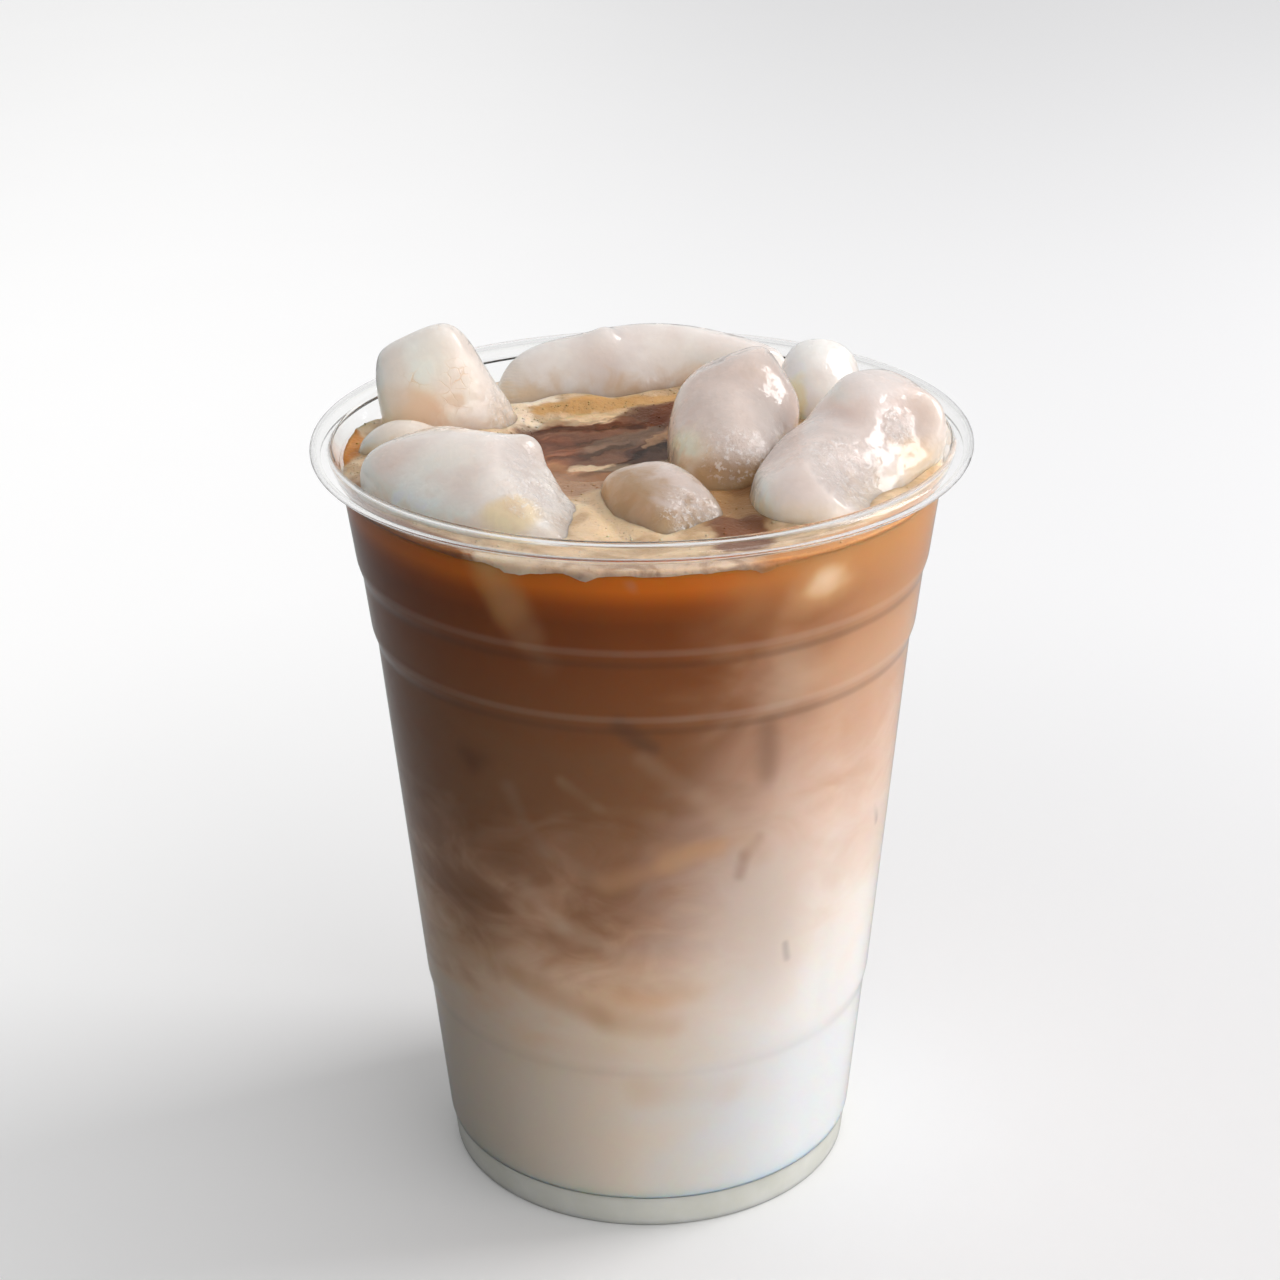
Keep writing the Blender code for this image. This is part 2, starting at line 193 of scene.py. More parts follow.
# Strokes at the wall: start, end, half width, colour, share
WALL_STROKES = (
    ((-22.5, -37.8, 116.0), (-19.6, -38.7, 109.0), 5.0, (0.64, 0.33, 0.12), 0.95),
    ((-19.6, -38.7, 109.0), (-17.0, -39.4, 105.0), 4.4, (0.44, 0.21, 0.095), 0.9),
    ((-17.0, -39.4, 105.0), (-14.6, -39.9, 101.0), 3.8, (0.28, 0.12, 0.055), 0.8),
    ((20.3, -30.0, 48.8), (20.3, -29.5, 45.8), 1.3, (0.32, 0.27, 0.26), 0.6),
    ((34.1, -17.5, 66.6), (34.4, -15.9, 63.4), 1.4, (0.32, 0.25, 0.22), 0.6),
    ((13.2, -35.7, 64.5), (14.2, -35.7, 67.7), 1.6, (0.34, 0.21, 0.15), 0.5),
    ((14.2, -35.7, 67.7), (16.3, -35.1, 69.8), 1.6, (0.36, 0.24, 0.17), 0.4),
    ((-4.1, -41.0, 90.8), (0.0, -40.7, 86.3), 2.4, (0.13, 0.065, 0.04), 0.6),
    ((16.6, -37.2, 86.7), (17.1, -36.1, 79.9), 3.6, (0.19, 0.10, 0.065), 0.5),
    ((-31.9, -15.7, 43.8), (-19.1, -30.1, 44.1), 3.6, (0.56, 0.34, 0.20), 0.4),
    ((-19.1, -30.1, 44.1), (-7.2, -34.5, 40.6), 3.8, (0.56, 0.34, 0.19), 0.5),
    ((-7.2, -34.5, 40.6), (4.7, -34.6, 38.4), 3.4, (0.60, 0.38, 0.23), 0.5),
    ((-12.1, -38.1, 80.5), (-6.5, -39.0, 76.9), 2.0, (0.46, 0.29, 0.18), 0.35),
    ((-6.5, -39.0, 76.9), (2.0, -39.3, 75.4), 2.0, (0.46, 0.29, 0.18), 0.35),
    ((-20.9, -33.6, 76.7), (-15.3, -35.3, 67.9), 2.4, (0.38, 0.24, 0.165), 0.35),
    ((-15.3, -35.3, 67.9), (-6.7, -37.4, 64.0), 2.4, (0.42, 0.27, 0.18), 0.4),
    ((-0.8, -40.5, 84.6), (7.7, -38.9, 77.4), 2.4, (0.42, 0.26, 0.17), 0.35),
    ((7.7, -38.9, 77.4), (16.4, -34.7, 67.2), 3.0, (0.56, 0.40, 0.29), 0.35),
    ((-6.7, -37.4, 64.0), (1.9, -38.4, 67.7), 2.8, (0.54, 0.31, 0.17), 0.5),
    ((1.9, -38.4, 67.7), (10.5, -37.2, 69.3), 2.8, (0.62, 0.38, 0.22), 0.55),
    ((-18.5, -32.9, 61.7), (-12.7, -34.8, 56.1), 2.6, (0.60, 0.43, 0.31), 0.35),
    ((-12.7, -34.8, 56.1), (-1.1, -36.5, 51.9), 2.8, (0.62, 0.45, 0.32), 0.4),
    ((-4.1, -36.1, 50.0), (7.7, -34.8, 44.0), 3.0, (0.66, 0.48, 0.35), 0.45),
    ((-1.0, -33.5, 27.5), (12.0, -31.0, 24.5), 5.0, (0.62, 0.44, 0.30), 0.35),
)

# ---------------------------------------------------------------- helpers


def new_object(name, mesh, smooth=True):
    obj = bpy.data.objects.new(name, mesh)
    scene.collection.objects.link(obj)
    if smooth:
        mesh.shade_smooth()
    return obj


def mesh_from(name, points, faces):
    """A mesh from points in millimetres."""
    mesh = bpy.data.meshes.new(name)
    mesh.from_pydata((np.asarray(points, float) * MM).tolist(), [], faces)
    mesh.update()
    return mesh


def smooth_wall(z):
    """Outer radius with the corners of the rings rounded."""
    heights, radii = zip(*WALL_STATIONS)
    offsets = np.linspace(-0.5, 0.5, 7)
    weights = 1 - np.abs(offsets) * 1.6
    return float(np.average(np.interp(z + offsets, heights, radii), weights=weights))


def arc(centre, half, start, end, count):
    """Points of an ellipse in the profile's plane, between two angles in degrees."""
    return [
        (centre[0] + half[0] * math.cos(a), centre[1] + half[1] * math.sin(a))
        for a in np.radians(np.linspace(start, end, count))
    ]


def rows_of(table, name):
    """The rows of a table that belong to one lump, without its name."""
    return [row[1:] for row in table if row[0] == name]


def turned(name, profile):
    """A closed solid turned about Z. The profile starts and ends on the axis."""
    angles = np.linspace(0, 2 * math.pi, SEGMENTS, endpoint=False)
    points, rings, faces = [], [], []
    for radius, height in profile:
        start = len(points)
        if radius < 1e-6:
            points.append((0.0, 0.0, height))
            rings.append([start])
        else:
            points += [(radius * math.cos(a), radius * math.sin(a), height) for a in angles]
            rings.append(range(start, start + SEGMENTS))
    for low, high in zip(rings, rings[1:]):
        for i in range(SEGMENTS):
            j = (i + 1) % SEGMENTS
            if len(low) == 1:
                faces.append((low[0], high[j], high[i]))
            elif len(high) == 1:
                faces.append((low[i], low[j], high[0]))
            else:
                faces.append((low[i], low[j], high[j], high[i]))
    return mesh_from(name, points, faces)


HASH_PRIMES = (73856093, 19349663, 83492791)


def noise3(points, size, seed):
    """Smooth noise from -1 to 1 at points in millimetres, with features of the given size."""
    rng = np.random.default_rng(seed)
    table = rng.uniform(-1, 1, 4096)  # a power of two, so that a mask picks from it
    p = np.asarray(points, float) / size + rng.uniform(0, 100, 3)
    cell = np.floor(p).astype(int)
    f = p - cell
    f = f * f * f * (f * (f * 6 - 15) + 10)
    total = np.zeros(len(p))
    for dx in (0, 1):
        for dy in (0, 1):
            for dz in (0, 1):
                c = cell + (dx, dy, dz)
                key = np.bitwise_xor.reduce(c * HASH_PRIMES, axis=1)
                weight = np.where((dx, dy, dz), f, 1 - f).prod(axis=1)
                total += table[key & (len(table) - 1)] * weight
    return total


def fractal(points, size, seed, octaves):
    """Noise with finer and weaker noise added, as many times as there are octaves."""
    total, strength = np.zeros(len(points)), 1.0
    for octave in range(octaves):
        total += noise3(points, size, seed + octave) * strength
        size, strength = size / 2, strength / 2
    return total


# ---------------------------------------------------------------- material helpers


class Tree:
    """Short ways to build the nodes of a material, or of the world."""

    def __init__(self, owner, output="ShaderNodeOutputMaterial"):
        self.owner = owner
        owner.use_nodes = True
        self.nodes = owner.node_tree.nodes
        self.links = owner.node_tree.links
        self.nodes.clear()
        self.out = self.nodes.new(output)
        self.coord = self.nodes.new("ShaderNodeTexCoord").outputs
        self.mm = self.vector("SCALE", self.coord["Object"], scale=1 / MM)

    def put(self, socket, value):
        if isinstance(value, bpy.types.NodeSocket):
            self.links.new(value, socket)
        elif socket.type == "RGBA":
            socket.default_value = (*value, 1.0)
        else:
            socket.default_value = value

    def node(self, kind, **values):
        """A new node with its named inputs set or linked."""
        node = self.nodes.new(kind)
        for key, value in values.items():
            self.put(node.inputs[key.replace("_", " ")], value)
        return node

    def math(self, operation, a, b=None, c=None, clamp=False):
        node = self.nodes.new("ShaderNodeMath")
        node.operation = operation
        node.use_clamp = clamp
        for socket, value in zip(node.inputs, (a, b, c)):
            if value is not None:
                self.put(socket, value)
        return node.outputs[0]

    def vector(self, operation, a, b=None, scale=None):
        node = self.nodes.new("ShaderNodeVectorMath")
        node.operation = operation
        self.put(node.inputs[0], a)
        if b is not None:
            self.put(node.inputs[1], b)
        if scale is not None:
            self.put(node.inputs["Scale"], scale)
        gives_number = operation in ("LENGTH", "DOT_PRODUCT")
        return node.outputs["Value" if gives_number else "Vector"]

    def parts(self, vector):
        node = self.nodes.new("ShaderNodeSeparateXYZ")
        self.put(node.inputs[0], vector)
        return node.outputs

    def noise(self, vector, size, detail=2.0, roughness=0.5, distortion=0.0, stretch=(1, 1, 1)):
        """Noise with features of about the given size in millimetres."""
        scaled = self.vector("MULTIPLY", vector, tuple(1 / (size * s) for s in stretch))
        node = self.node(
            "ShaderNodeTexNoise",
            Vector=scaled,
            Scale=1.0,
            Detail=detail,
            Roughness=roughness,
            Distortion=distortion,
        )
        return node.outputs["Fac"]

    def warped(self, size, reach, place=None):
        """A place moved by noise, up to about half the reach along each axis."""
        scaled = self.vector("SCALE", self.mm, scale=1 / size)
        node = self.node("ShaderNodeTexNoise", Vector=scaled, Scale=1.0, Detail=2.0)
        shift = self.vector("SUBTRACT", node.outputs["Color"], (0.5, 0.5, 0.5))
        shift = self.vector("MULTIPLY", shift, reach)
        return self.vector("ADD", shift, place or self.mm)

    def plan(self, place):
        """The place without its height."""
        return self.vector("MULTIPLY", place, (1, 1, 0))

    def cells(self, vector, size, feature="F1"):
        scaled = self.vector("SCALE", vector, scale=1 / size)
        node = self.node("ShaderNodeTexVoronoi", Vector=scaled, Scale=1.0)
        node.feature = feature
        return node.outputs["Distance"]

    def between(self, value, low, high, new_low=0.0, new_high=1.0):
        """A soft step from new_low to new_high as the value goes from low to high."""
        node = self.nodes.new("ShaderNodeMapRange")
        node.interpolation_type = "SMOOTHSTEP"
        for socket, v in zip(node.inputs[:5], (value, low, high, new_low, new_high)):
            self.put(socket, v)
        return node.outputs[0]

    def mix(self, share, a, b):
        node = self.nodes.new("ShaderNodeMix")
        node.data_type = "RGBA"
        self.put(node.inputs[0], share)
        self.put(node.inputs[6], a)
        self.put(node.inputs[7], b)
        return node.outputs[2]

    def ramp(self, value, stops):
        node = self.nodes.new("ShaderNodeValToRGB")
        self.put(node.inputs[0], value)
        elements = node.color_ramp.elements
        while len(elements) > 1:
            elements.remove(elements[-1])
        elements[0].position, elements[0].color = stops[0][0], (*stops[0][1], 1.0)
        for position, colour in stops[1:]:
            elements.new(position).color = (*colour, 1.0)
        return node.outputs[0]

    def blob(self, vector, centre, size, stretch=(1, 1, 1), soft=1.0):
        """1 within an ellipsoid round centre, falling softly to 0 at its edge."""
        offset = self.vector("SUBTRACT", vector, centre)
        offset = self.vector("MULTIPLY", offset, tuple(1 / (size * s) for s in stretch))
        return self.between(self.vector("LENGTH", offset), 1.0 - soft, 1.0, 1.0, 0.0)

    def lay(self, colour, tint, near, share):
        """Lays a tint over the colour, as far as near says, up to the share."""
        return self.mix(self.math("MULTIPLY", near, share), colour, tint)

    def swing(self, noise, amount, base):
        """The base, moved up and down by noise round 0.5."""
        return self.math("MULTIPLY_ADD", self.math("SUBTRACT", noise, 0.5), amount, base)

    def bump(self, height, distance):
        values = {"Strength": 1.0, "Distance": distance * MM, "Height": height}
        return self.node("ShaderNodeBump", **values).outputs[0]

    def join(self, *parts):
        node = self.nodes.new("ShaderNodeCombineXYZ")
        for socket, part in zip(node.inputs, parts):
            self.put(socket, part)
        return node.outputs[0]

    def principled(self, **values):
        return self.node("ShaderNodeBsdfPrincipled", **values)

    def either(self, share, one, other):
        """One shader where the share is 0, and the other where it is 1."""
        node = self.nodes.new("ShaderNodeMixShader")
        for socket, value in zip(node.inputs, (share, one.outputs[0], other.outputs[0])):
            self.put(socket, value)
        return node

    def surface(self, shader):
        self.links.new(shader.outputs[0], self.out.inputs["Surface"])
        return self.owner


def material_tree(name):
    return Tree(bpy.data.materials.new(name))


def clear_plastic():
    """Clear thin plastic that lets the lamps through."""
    t = material_tree("clear_plastic")
    ripple = t.noise(t.mm, 9.0, stretch=(1, 1, 2.2))
    fine = t.noise(t.mm, 1.3, detail=1.0)
    height = t.math("MULTIPLY_ADD", fine, 0.08, ripple)
    shader = t.principled(
        Base_Color=(0.985, 0.985, 0.98),
        Roughness=0.035,
        IOR=1.28,
        Transmission_Weight=1.0,
        Normal=t.bump(height, 0.05),
    )
    clear = t.node("ShaderNodeBsdfTransparent", Color=(0.95, 0.96, 0.955))
    shadow = t.node("ShaderNodeLightPath").outputs["Is Shadow Ray"]
    return t.surface(t.either(shadow, shader, clear))


def fan_noise(t, place, size, detail):
    """Streaks drawn out from one place, as by a spoon."""
    curl, girth, drawn = 0.012, 22.0, 0.22
    offset = t.vector("SUBTRACT", place, (*FAN, 0.0))
    x, y, z = t.parts(offset)
    reach = t.vector("LENGTH", offset)
    turn = t.math("MULTIPLY_ADD", reach, curl, t.math("ARCTAN2", y, x))
    rolled = t.join(
        t.math("MULTIPLY", t.math("COSINE", turn), girth),
        t.math("MULTIPLY", t.math("SINE", turn), girth),
        t.math("MULTIPLY", reach, drawn),
    )
    return t.noise(rolled, size, detail=detail, roughness=0.55, distortion=0.4)


def stroke(t, place, start, end, half, soft):
    """1 along the line from start to end, falling softly to 0 at half its width."""
    start = Vector((*start, 0.0)[:3])
    along = Vector((*end, 0.0)[:3]) - start
    length = along.length
    offset = t.vector("SUBTRACT", place, tuple(start))
    share = t.vector("DOT_PRODUCT", offset, tuple(along / length))
    share = t.math("MINIMUM", t.math("MAXIMUM", share, 0.0), length)
    nearest = t.vector("SUBTRACT", offset, t.vector("SCALE", tuple(along / length), scale=share))
    return t.between(t.vector("LENGTH", nearest), half * (1 - soft), half, 1.0, 0.0)


def foot_plastic():
    """The ring below the floor, where the plastic is thick and cloudy."""
    t = material_tree("foot_plastic")
    cloud = t.noise(t.mm, 7.0, detail=3.0)
    colour = t.mix(t.between(cloud, 0.3, 0.7), (0.72, 0.715, 0.64), (0.80, 0.79, 0.72))
    line = t.blob(t.vector("MULTIPLY", t.mm, (0, 0, 1)), (0, 0, FLOOR_TOP - 0.15), 0.5)
    colour = t.lay(colour, (0.50, 0.45, 0.38), line, 0.15)
    shader = t.principled(
        Base_Color=colour,
        Roughness=0.2,
        IOR=1.42,
        Subsurface_Weight=0.9,
        Subsurface_Radius=(1.0, 0.95, 0.8),
        Subsurface_Scale=0.003,
        Normal=t.bump(cloud, 0.1),
    )
    return t.surface(shader)


def drink_material():
    """Milk at the bottom, coffee at the top, and slow swirls where they meet."""
    t = material_tree("drink")
    x, y, z = t.parts(t.mm)
    drift = t.noise(t.mm, 34.0, detail=1.0, stretch=(1, 1, 0.8))
    swirl = t.noise(t.mm, 19.0, detail=2.5, distortion=1.2, stretch=(1.3, 1.3, 0.75))
    wisps = t.noise(t.mm, 9.5, detail=3.0, distortion=2.2, stretch=(1.35, 1.35, 0.8))
    # The colours go by height, which the swirls move where milk and coffee meet.
    amount = t.math("MULTIPLY", t.between(z, 98.0, 72.0), t.between(z, 14.0, 42.0))
    level = z
    for noise, travel in ((drift, 24.0), (swirl, 36.0), (wisps, 14.0)):
        level = t.swing(noise, t.math("MULTIPLY", amount, travel), level)
    height = t.math("DIVIDE", level, CUP_HEIGHT)
    # The drink is painted darker towards the left and lighter towards the right, painted shade
    # and light for the light from the right; the swirls move where the two meet.
    shift = t.between(z, 50.0, 106.0, 0.0, 11.0)
    side = t.math("SUBTRACT", t.swing(swirl, 26.0, x), shift)
    shaded_side, lit_side = t.ramp(height, SHADED_SIDE_COFFEE), t.ramp(height, LIT_SIDE_COFFEE)
    colour = t.mix(t.between(side, -8.0, 22.0), shaded_side, lit_side)
    # Ice just under the surface, and slow clouds of milk and of coffee, show at the wall.
    moved = t.warped(9.0, (9.0, 9.0, 7.0))
    for centre, size, stretch, tint, share in WALL_PATCHES:
        colour = t.lay(colour, tint, t.blob(moved, centre, size, stretch), share)
    drawn = t.warped(24.0, (8.0, 8.0, 8.0))
    for start, end, half, tint, share in WALL_STROKES:
        colour = t.lay(colour, tint, stroke(t, drawn, start, end, half, 1.0), share)
    # Painted light above the edge of each step in the wall, and painted shade below it, where the
    # step gathers the light and loses it.
    for ring, ring_shade in zip(RING_HEIGHTS, RING_SHADES):
        above = t.math("ABSOLUTE", t.math("SUBTRACT", z, ring + 1.1))
        colour = t.mix(t.between(above, 0.2, 0.9, 0.08, 0.0), colour, (0.85, 0.74, 0.66))
        below = t.math("ABSOLUTE", t.math("SUBTRACT", z, ring - 0.9))
        colour = t.mix(t.between(below, 0.2, 1.0, ring_shade, 0.0), colour, (0.10, 0.045, 0.025))
    shader = t.principled(
        Base_Color=colour,
        Roughness=0.3,
        Specular_IOR_Level=0.0,
        Subsurface_Weight=1.0,
        Subsurface_Radius=(1.0, 0.55, 0.32),
        Subsurface_Scale=0.0045,
    )
    return t.surface(shader)


# Strokes of colour on the surface: ends in plan, half width, colour, share
STROKES = (
    ((-24.0, 30.0), (-16.0, 26.0), 4.0, (0.92, 0.78, 0.62), 0.9),
    ((-13.5, 22.6), (3.5, 26.6), 3.4, (0.60, 0.34, 0.13), 0.9),
    ((-12.0, 19.9), (1.0, 22.2), 1.6, (0.74, 0.51, 0.30), 0.6),
    ((-22.3, 26.4), (-17.6, 14.7), 4.0, (0.86, 0.68, 0.50), 0.9),
    ((-18.8, 11.6), (-18.4, 10.8), 3.2, (0.62, 0.38, 0.22), 0.8),
    ((-13.9, -0.8), (-6.1, -7.2), 4.6, (0.28, 0.115, 0.045), 0.9),
    ((-6.1, -7.2), (1.0, -9.1), 4.2, (0.31, 0.145, 0.065), 0.9),
    ((-12.0, -8.7), (-6.0, -18.0), 6.0, (0.33, 0.18, 0.105), 0.9),
    ((-5.8, -20.0), (-3.4, -32.0), 4.5, (0.80, 0.58, 0.36), 0.8),
    ((-12.8, 9.6), (0.6, 11.4), 9.6, (0.135, 0.058, 0.033), 1.0),
    ((-5.6, 1.4), (6.5, 7.4), 7.4, (0.14, 0.068, 0.041), 1.0),
    ((0.5, 18.0), (8.5, 22.0), 6.0, (0.15, 0.065, 0.036), 1.0),
    ((-14.0, 8.0), (-12.2, 2.6), 3.8, (0.18, 0.066, 0.035), 0.8),
    ((-13.6, 14.6), (-6.4, 16.2), 2.6, (0.085, 0.024, 0.010), 0.9),
    ((-6.4, 16.2), (2.1, 18.4), 2.0, (0.080, 0.020, 0.006), 0.95),
    ((2.1, 18.4), (7.7, 24.3), 2.0, (0.13, 0.032, 0.008), 0.95),
    ((-6.3, 7.2), (1.6, 13.4), 3.6, (0.185, 0.115, 0.078), 0.85),
    ((-1.8, 2.6), (2.4, 8.0), 2.3, (0.055, 0.026, 0.018), 0.9),
    ((1.0, 6.2), (7.9, 21.4), 1.5, (0.34, 0.20, 0.11), 0.75),
    ((3.1, 3.9), (8.1, 12.8), 1.6, (0.085, 0.036, 0.016), 0.85),
    ((-8.7, -2.3), (-2.0, -3.0), 2.0, (0.50, 0.36, 0.235), 0.85),
    ((8.5, -8.0), (12.3, -17.0), 8.0, (0.40, 0.25, 0.13), 0.95),
    ((12.3, -17.0), (13.4, -28.6), 7.0, (0.38, 0.205, 0.090), 0.95),
    ((20.2, 6.9), (15.5, -14.6), 5.0, (0.26, 0.125, 0.052), 0.95),
    ((13.8, -30.0), (13.2, -37.0), 5.0, (0.17, 0.060, 0.022), 0.95),
    ((22.5, 24.5), (24.0, 22.0), 6.0, (0.76, 0.47, 0.22), 0.8),
    ((35.0, 36.0), (39.0, 35.0), 8.0, (0.80, 0.60, 0.36), 0.6),
    ((-46.0, 26.0), (-46.0, 10.0), 5.5, (0.84, 0.66, 0.44), 0.8),
    ((-45.8, 6.5), (-45.5, 2.5), 4.5, (0.60, 0.24, 0.05), 0.95),
)


def surface_colour(t):
    """Pale froth, the dark pool with milk drawn through it, and what lies between."""
    x, y, z = t.parts(t.mm)
    drift = t.noise(t.mm, 5.5, detail=4.0, distortion=0.9)
    colour = t.mix(t.between(drift, 0.34, 0.66), (0.50, 0.33, 0.19), (0.74, 0.54, 0.35))
    folds = t.plan(t.warped(1.7, (2.0, 2.0, 0.0), t.warped(6.0, (7.0, 7.0, 0.0))))
    streak = fan_noise(t, folds, 2.6, 2.5)
    for start, end, half, tint, share in STROKES:
        colour = t.lay(colour, tint, stroke(t, folds, start, end, half, 0.45), share)
    # Streaks in the open pool
    pool = (POOL_HALF[0] + 5.0, POOL_HALF[1] + 2.0, 1.0)
    inside = t.blob(folds, (*POOL_CENTRE, 0.0), 1.0, pool, 0.25)
    light = t.math("SUBTRACT", t.between(streak, 0.3, 0.7, 0.55, 1.6), 1.0)
    light = t.math("MULTIPLY_ADD", light, inside, 1.0)
    colour = t.vector("SCALE", colour, scale=light)
    # By the wall at the front the drink shows, but for a patchy strip of froth in the middle
    wander = t.math("MULTIPLY_ADD", drift, 8.0, t.math("SUBTRACT", x, 4.0))
    left, right = t.between(wander, -25.0, -21.0), t.between(wander, 13.0, 18.0, 1.0, 0.0)
    patchy = t.mix(t.between(drift, 0.40, 0.60), (0.40, 0.27, 0.19), (0.64, 0.49, 0.37))
    patchy = t.mix(t.between(x, -20.0, -6.0, 0.7, 0.0), patchy, (0.80, 0.66, 0.50))
    # The drink at the wall is painted darker towards the left and lighter towards the right,
    # painted shade and light for the light from the right.
    wet = t.mix(t.between(x, -36.0, 40.0), (0.27, 0.095, 0.020), (0.58, 0.27, 0.10))
    front = t.mix(t.math("MULTIPLY", left, right), wet, patchy)
    reach = t.vector("LENGTH", t.plan(t.mm))
    edge = smooth_wall(DRINK_LEVEL) - WALL
    wall = t.between(reach, edge - 2.2, edge - 0.8)
    colour = t.lay(colour, front, wall, t.between(y, -6.0, -16.0))
    fine = t.noise(t.mm, 0.7, roughness=0.7)
    colour = t.mix(t.between(fine, 0.42, 0.30, 0.0, 0.25), colour, (0.20, 0.10, 0.05))
    return colour, streak, fine


def top_material():
    """Coffee in the open pool."""
    t = material_tree("drink_top")
    colour, streak, fine = surface_colour(t)
    height = t.math("MULTIPLY_ADD", streak, 1.0, t.math("MULTIPLY", fine, 0.15))
    shader = t.principled(
        Base_Color=colour,
        Roughness=0.22,
        IOR=1.33,
        Specular_IOR_Level=0.1,
        Subsurface_Weight=1.0,
        Subsurface_Radius=(1.0, 0.5, 0.3),
        Subsurface_Scale=0.0012,
        Normal=t.bump(height, 0.35),
    )
    return t.surface(shader)


# Colours of each lump: body and foot. The centre right, right and front lumps have darker bodies,
# painted shade against the stronger light on them.
ICE_COLOURS = {
    "ice_back_left": ((0.95, 0.86, 0.78), (0.80, 0.58, 0.38)),
    "ice_left_small": ((0.95, 0.81, 0.70), (0.76, 0.46, 0.24)),
    "ice_front_left": ((0.96, 0.875, 0.81), (0.78, 0.62, 0.50)),
    "ice_back": ((0.95, 0.875, 0.82), (0.80, 0.60, 0.40)),
    "ice_centre_right": ((0.77, 0.665, 0.60), (0.62, 0.42, 0.22)),
    "ice_back_right": ((0.97, 0.92, 0.87), (0.90, 0.72, 0.52)),
    "ice_right": ((0.77, 0.675, 0.62), (0.78, 0.62, 0.46)),
    "ice_front": ((0.67, 0.565, 0.50), (0.44, 0.29, 0.15)),
}
# Patches on the ice, with a painted light and a painted shade on the right lump: lump, centre,
# reach, stretch, colour, share
ICE_PATCHES = (
    ("ice_back_left", (-37.0, 9.0, 118.5), 9.5, (1.2, 1, 0.8), (0.82, 0.60, 0.40), 0.8),
    ("ice_back_left", (-28.0, 10.4, 120.6), 2.4, (1, 1, 0.8), (0.61, 0.39, 0.16), 0.3),
    ("ice_back_left", (-20.5, 13.5, 116.5), 7.0, (1, 1, 1), (0.90, 0.80, 0.68), 0.5),
    ("ice_back_left", (-39.0, 11.0, 124.0), 8.0, (0.8, 1, 1.2), (0.86, 0.76, 0.68), 0.6),
    ("ice_front_left", (-17.9, -32.3, 118.0), 5.5, (1.2, 1, 0.8), (0.97, 0.78, 0.52), 0.9),
    ("ice_front_left", (-9.0, -31.5, 115.5), 8.0, (1, 1, 1), (0.94, 0.84, 0.70), 0.5),
    ("ice_front_left", (-38.0, -14.0, 116.5), 12.0, (1, 1, 1), (0.86, 0.72, 0.64), 0.7),
    ("ice_front_left", (-16.5, -15.0, 121.0), 5.0, (1, 1, 1), (0.70, 0.62, 0.56), 0.8),
    ("ice_back", (-22.0, 26.5, 117.0), 9.0, (1, 1, 1), (0.78, 0.68, 0.58), 0.8),
    ("ice_back", (-17.0, 25.5, 115.0), 6.0, (1, 1, 0.6), (0.71, 0.57, 0.39), 0.6),
    ("ice_back", (18.0, 31.0, 121.0), 14.0, (1, 1, 1), (0.93, 0.85, 0.80), 0.8),
    ("ice_centre_right", (6.0, -8.0, 116.5), 11.0, (1.2, 1.1, 0.7), (0.90, 0.77, 0.60), 0.9),
    ("ice_centre_right", (12.0, -15.0, 113.5), 11.5, (1.3, 1, 0.8), (0.46, 0.30, 0.17), 1.0),
    ("ice_back_right", (23.0, 15.0, 118.5), 5.0, (0.8, 1, 1.4), (0.90, 0.68, 0.46), 0.7),
    ("ice_right", (42.0, -10.0, 117.0), 9.0, (1, 1, 0.8), (0.88, 0.62, 0.36), 0.7),
    ("ice_right", (36.0, -22.0, 116.0), 8.0, (1, 1, 0.8), (0.84, 0.66, 0.50), 0.6),
    # painted light: a lighter patch on the lower left of the right lump, a face in shade
    ("ice_right", (15.0, -22.0, 115.0), 11.0, (1, 1, 1), (0.97, 0.86, 0.78), 0.9),
    ("ice_right", (33.0, 1.0, 125.5), 9.0, (1, 1, 1), (0.90, 0.84, 0.80), 0.8),
    # painted shade: a darker patch on the right end of the right lump, where the window light
    # falls
    ("ice_right", (43.0, -3.0, 120.0), 8.0, (1, 1, 1), (0.72, 0.63, 0.56), 0.7),
    ("ice_front", (-3.5, -26.0, 115.5), 12.5, (0.9, 1.2, 0.9), (0.50, 0.33, 0.18), 1.0),
    ("ice_front", (1.5, -36.0, 115.0), 10.5, (1.4, 1, 0.9), (0.50, 0.33, 0.18), 0.95),
)


